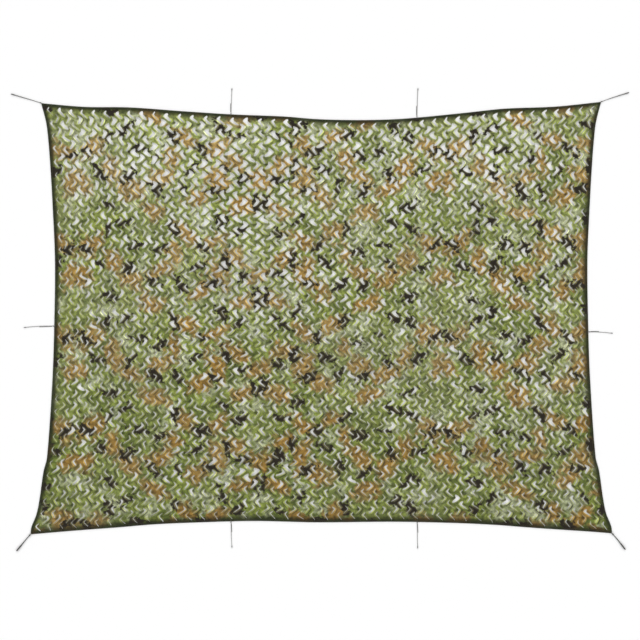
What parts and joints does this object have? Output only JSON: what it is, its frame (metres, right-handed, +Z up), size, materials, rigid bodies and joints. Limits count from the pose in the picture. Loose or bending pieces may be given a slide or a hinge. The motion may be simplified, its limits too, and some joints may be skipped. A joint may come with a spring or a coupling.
{
  "type": "camouflage net",
  "caption": "Leaf-cut camouflage net of printed cloth, laid out flat, with a folded tape round its inward-curving edges and short knotted ties at its corners and sides.",
  "frame": {"origin": "on the surface that the net lies on, below the middle of the box round the net without its ties", "axes": "+X along the longer side to the right, +Y along the shorter side to the top edge, +Z up off the surface"},
  "size_m": [4.327, 3.2427, 0.0111],
  "materials": {
    "cloth": "matte woodland print on thin woven polyester",
    "tape": "matte dark printed tape",
    "cord": "matte twisted cord"
  },
  "bodies": {
    "root": {"binding_bottom": "tape", "binding_left": "tape", "binding_right": "tape", "binding_top": "tape", "cord_bottom_left": "cord", "cord_bottom_right": "cord", "cord_corner_bottom_left": "cord", "cord_corner_bottom_right": "cord", "cord_corner_top_left": "cord", "cord_corner_top_right": "cord", "cord_left": "cord", "cord_right": "cord", "cord_top_left": "cord", "cord_top_right": "cord", "end_knot_bottom_left": "cord", "end_knot_bottom_right": "cord", "end_knot_corner_bottom_left": "cord", "end_knot_corner_bottom_right": "cord", "end_knot_corner_top_left": "cord", "end_knot_corner_top_right": "cord", "end_knot_left": "cord", "end_knot_right": "cord", "end_knot_top_left": "cord", "end_knot_top_right": "cord", "net_cloth": "cloth", "root_knot_bottom_left": "cord", "root_knot_bottom_right": "cord", "root_knot_corner_bottom_left": "cord", "root_knot_corner_bottom_right": "cord", "root_knot_corner_top_left": "cord", "root_knot_corner_top_right": "cord", "root_knot_left": "cord", "root_knot_right": "cord", "root_knot_top_left": "cord", "root_knot_top_right": "cord", "tail_bottom_left": "cord", "tail_bottom_right": "cord", "tail_left": "cord", "tail_right": "cord", "tail_top_left": "cord", "tail_top_right": "cord"}
  },
  "joints": []
}
